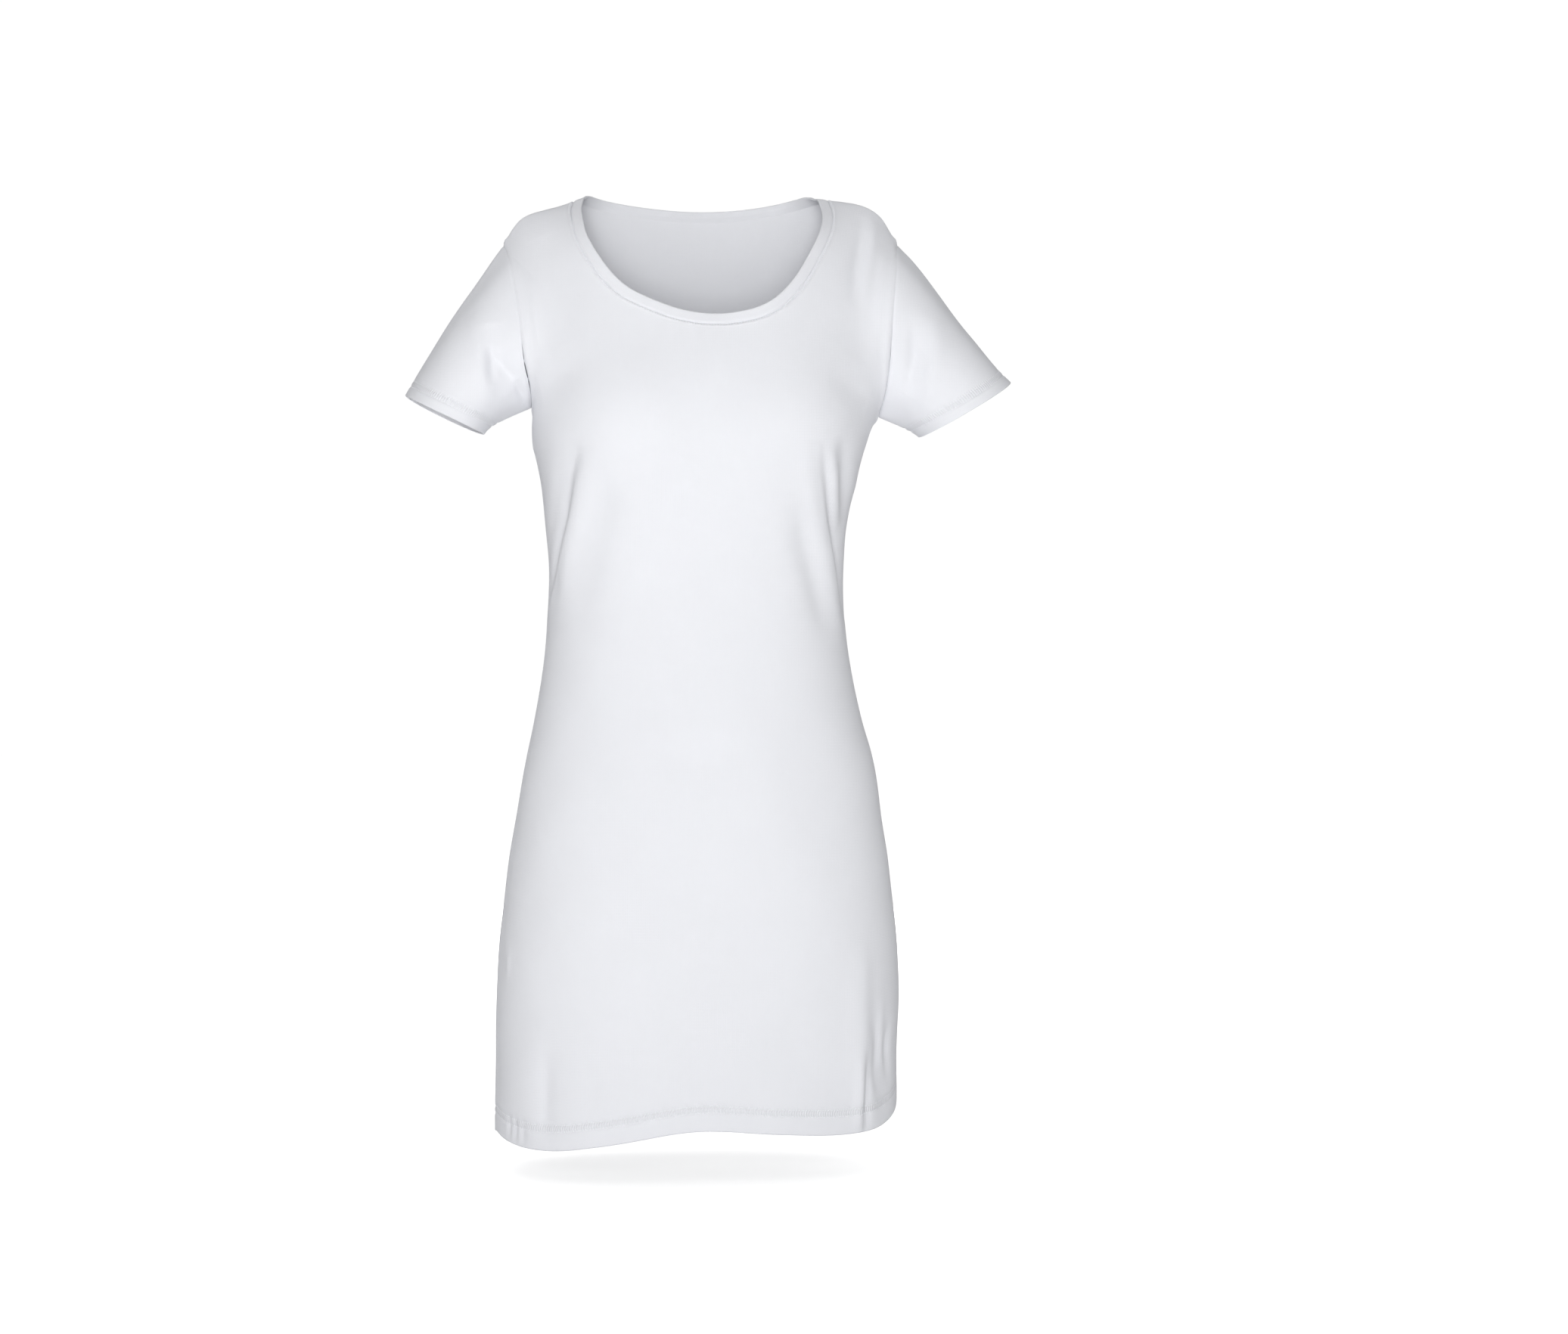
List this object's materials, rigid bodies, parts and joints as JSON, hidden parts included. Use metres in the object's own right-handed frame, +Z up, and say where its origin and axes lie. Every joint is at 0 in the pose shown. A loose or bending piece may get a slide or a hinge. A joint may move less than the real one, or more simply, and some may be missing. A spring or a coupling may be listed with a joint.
{
  "type": "t-shirt dress",
  "caption": "Fitted knee-length T-shirt dress in plain white jersey, with a low round neck, short set-in sleeves and turned-up hems, filled out as if worn.",
  "frame": {"origin": "midway between the high points of the shoulders, where the wearer holds the dress up", "axes": "+Z up towards the neck, -Y towards the front of the dress, +X towards the wearer's left"},
  "size_m": [0.577, 0.2494, 0.8993],
  "materials": {
    "front_jersey": "matt single jersey",
    "back_jersey": "matt single jersey",
    "sleeve_right_jersey": "matt single jersey",
    "sleeve_left_jersey": "matt single jersey",
    "neckband_jersey": "matt jersey folded double"
  },
  "bodies": {
    "root": {"front": "front_jersey", "back": "back_jersey", "sleeve_right": "sleeve_right_jersey", "sleeve_left": "sleeve_left_jersey", "neckband": "neckband_jersey"}
  },
  "joints": []
}
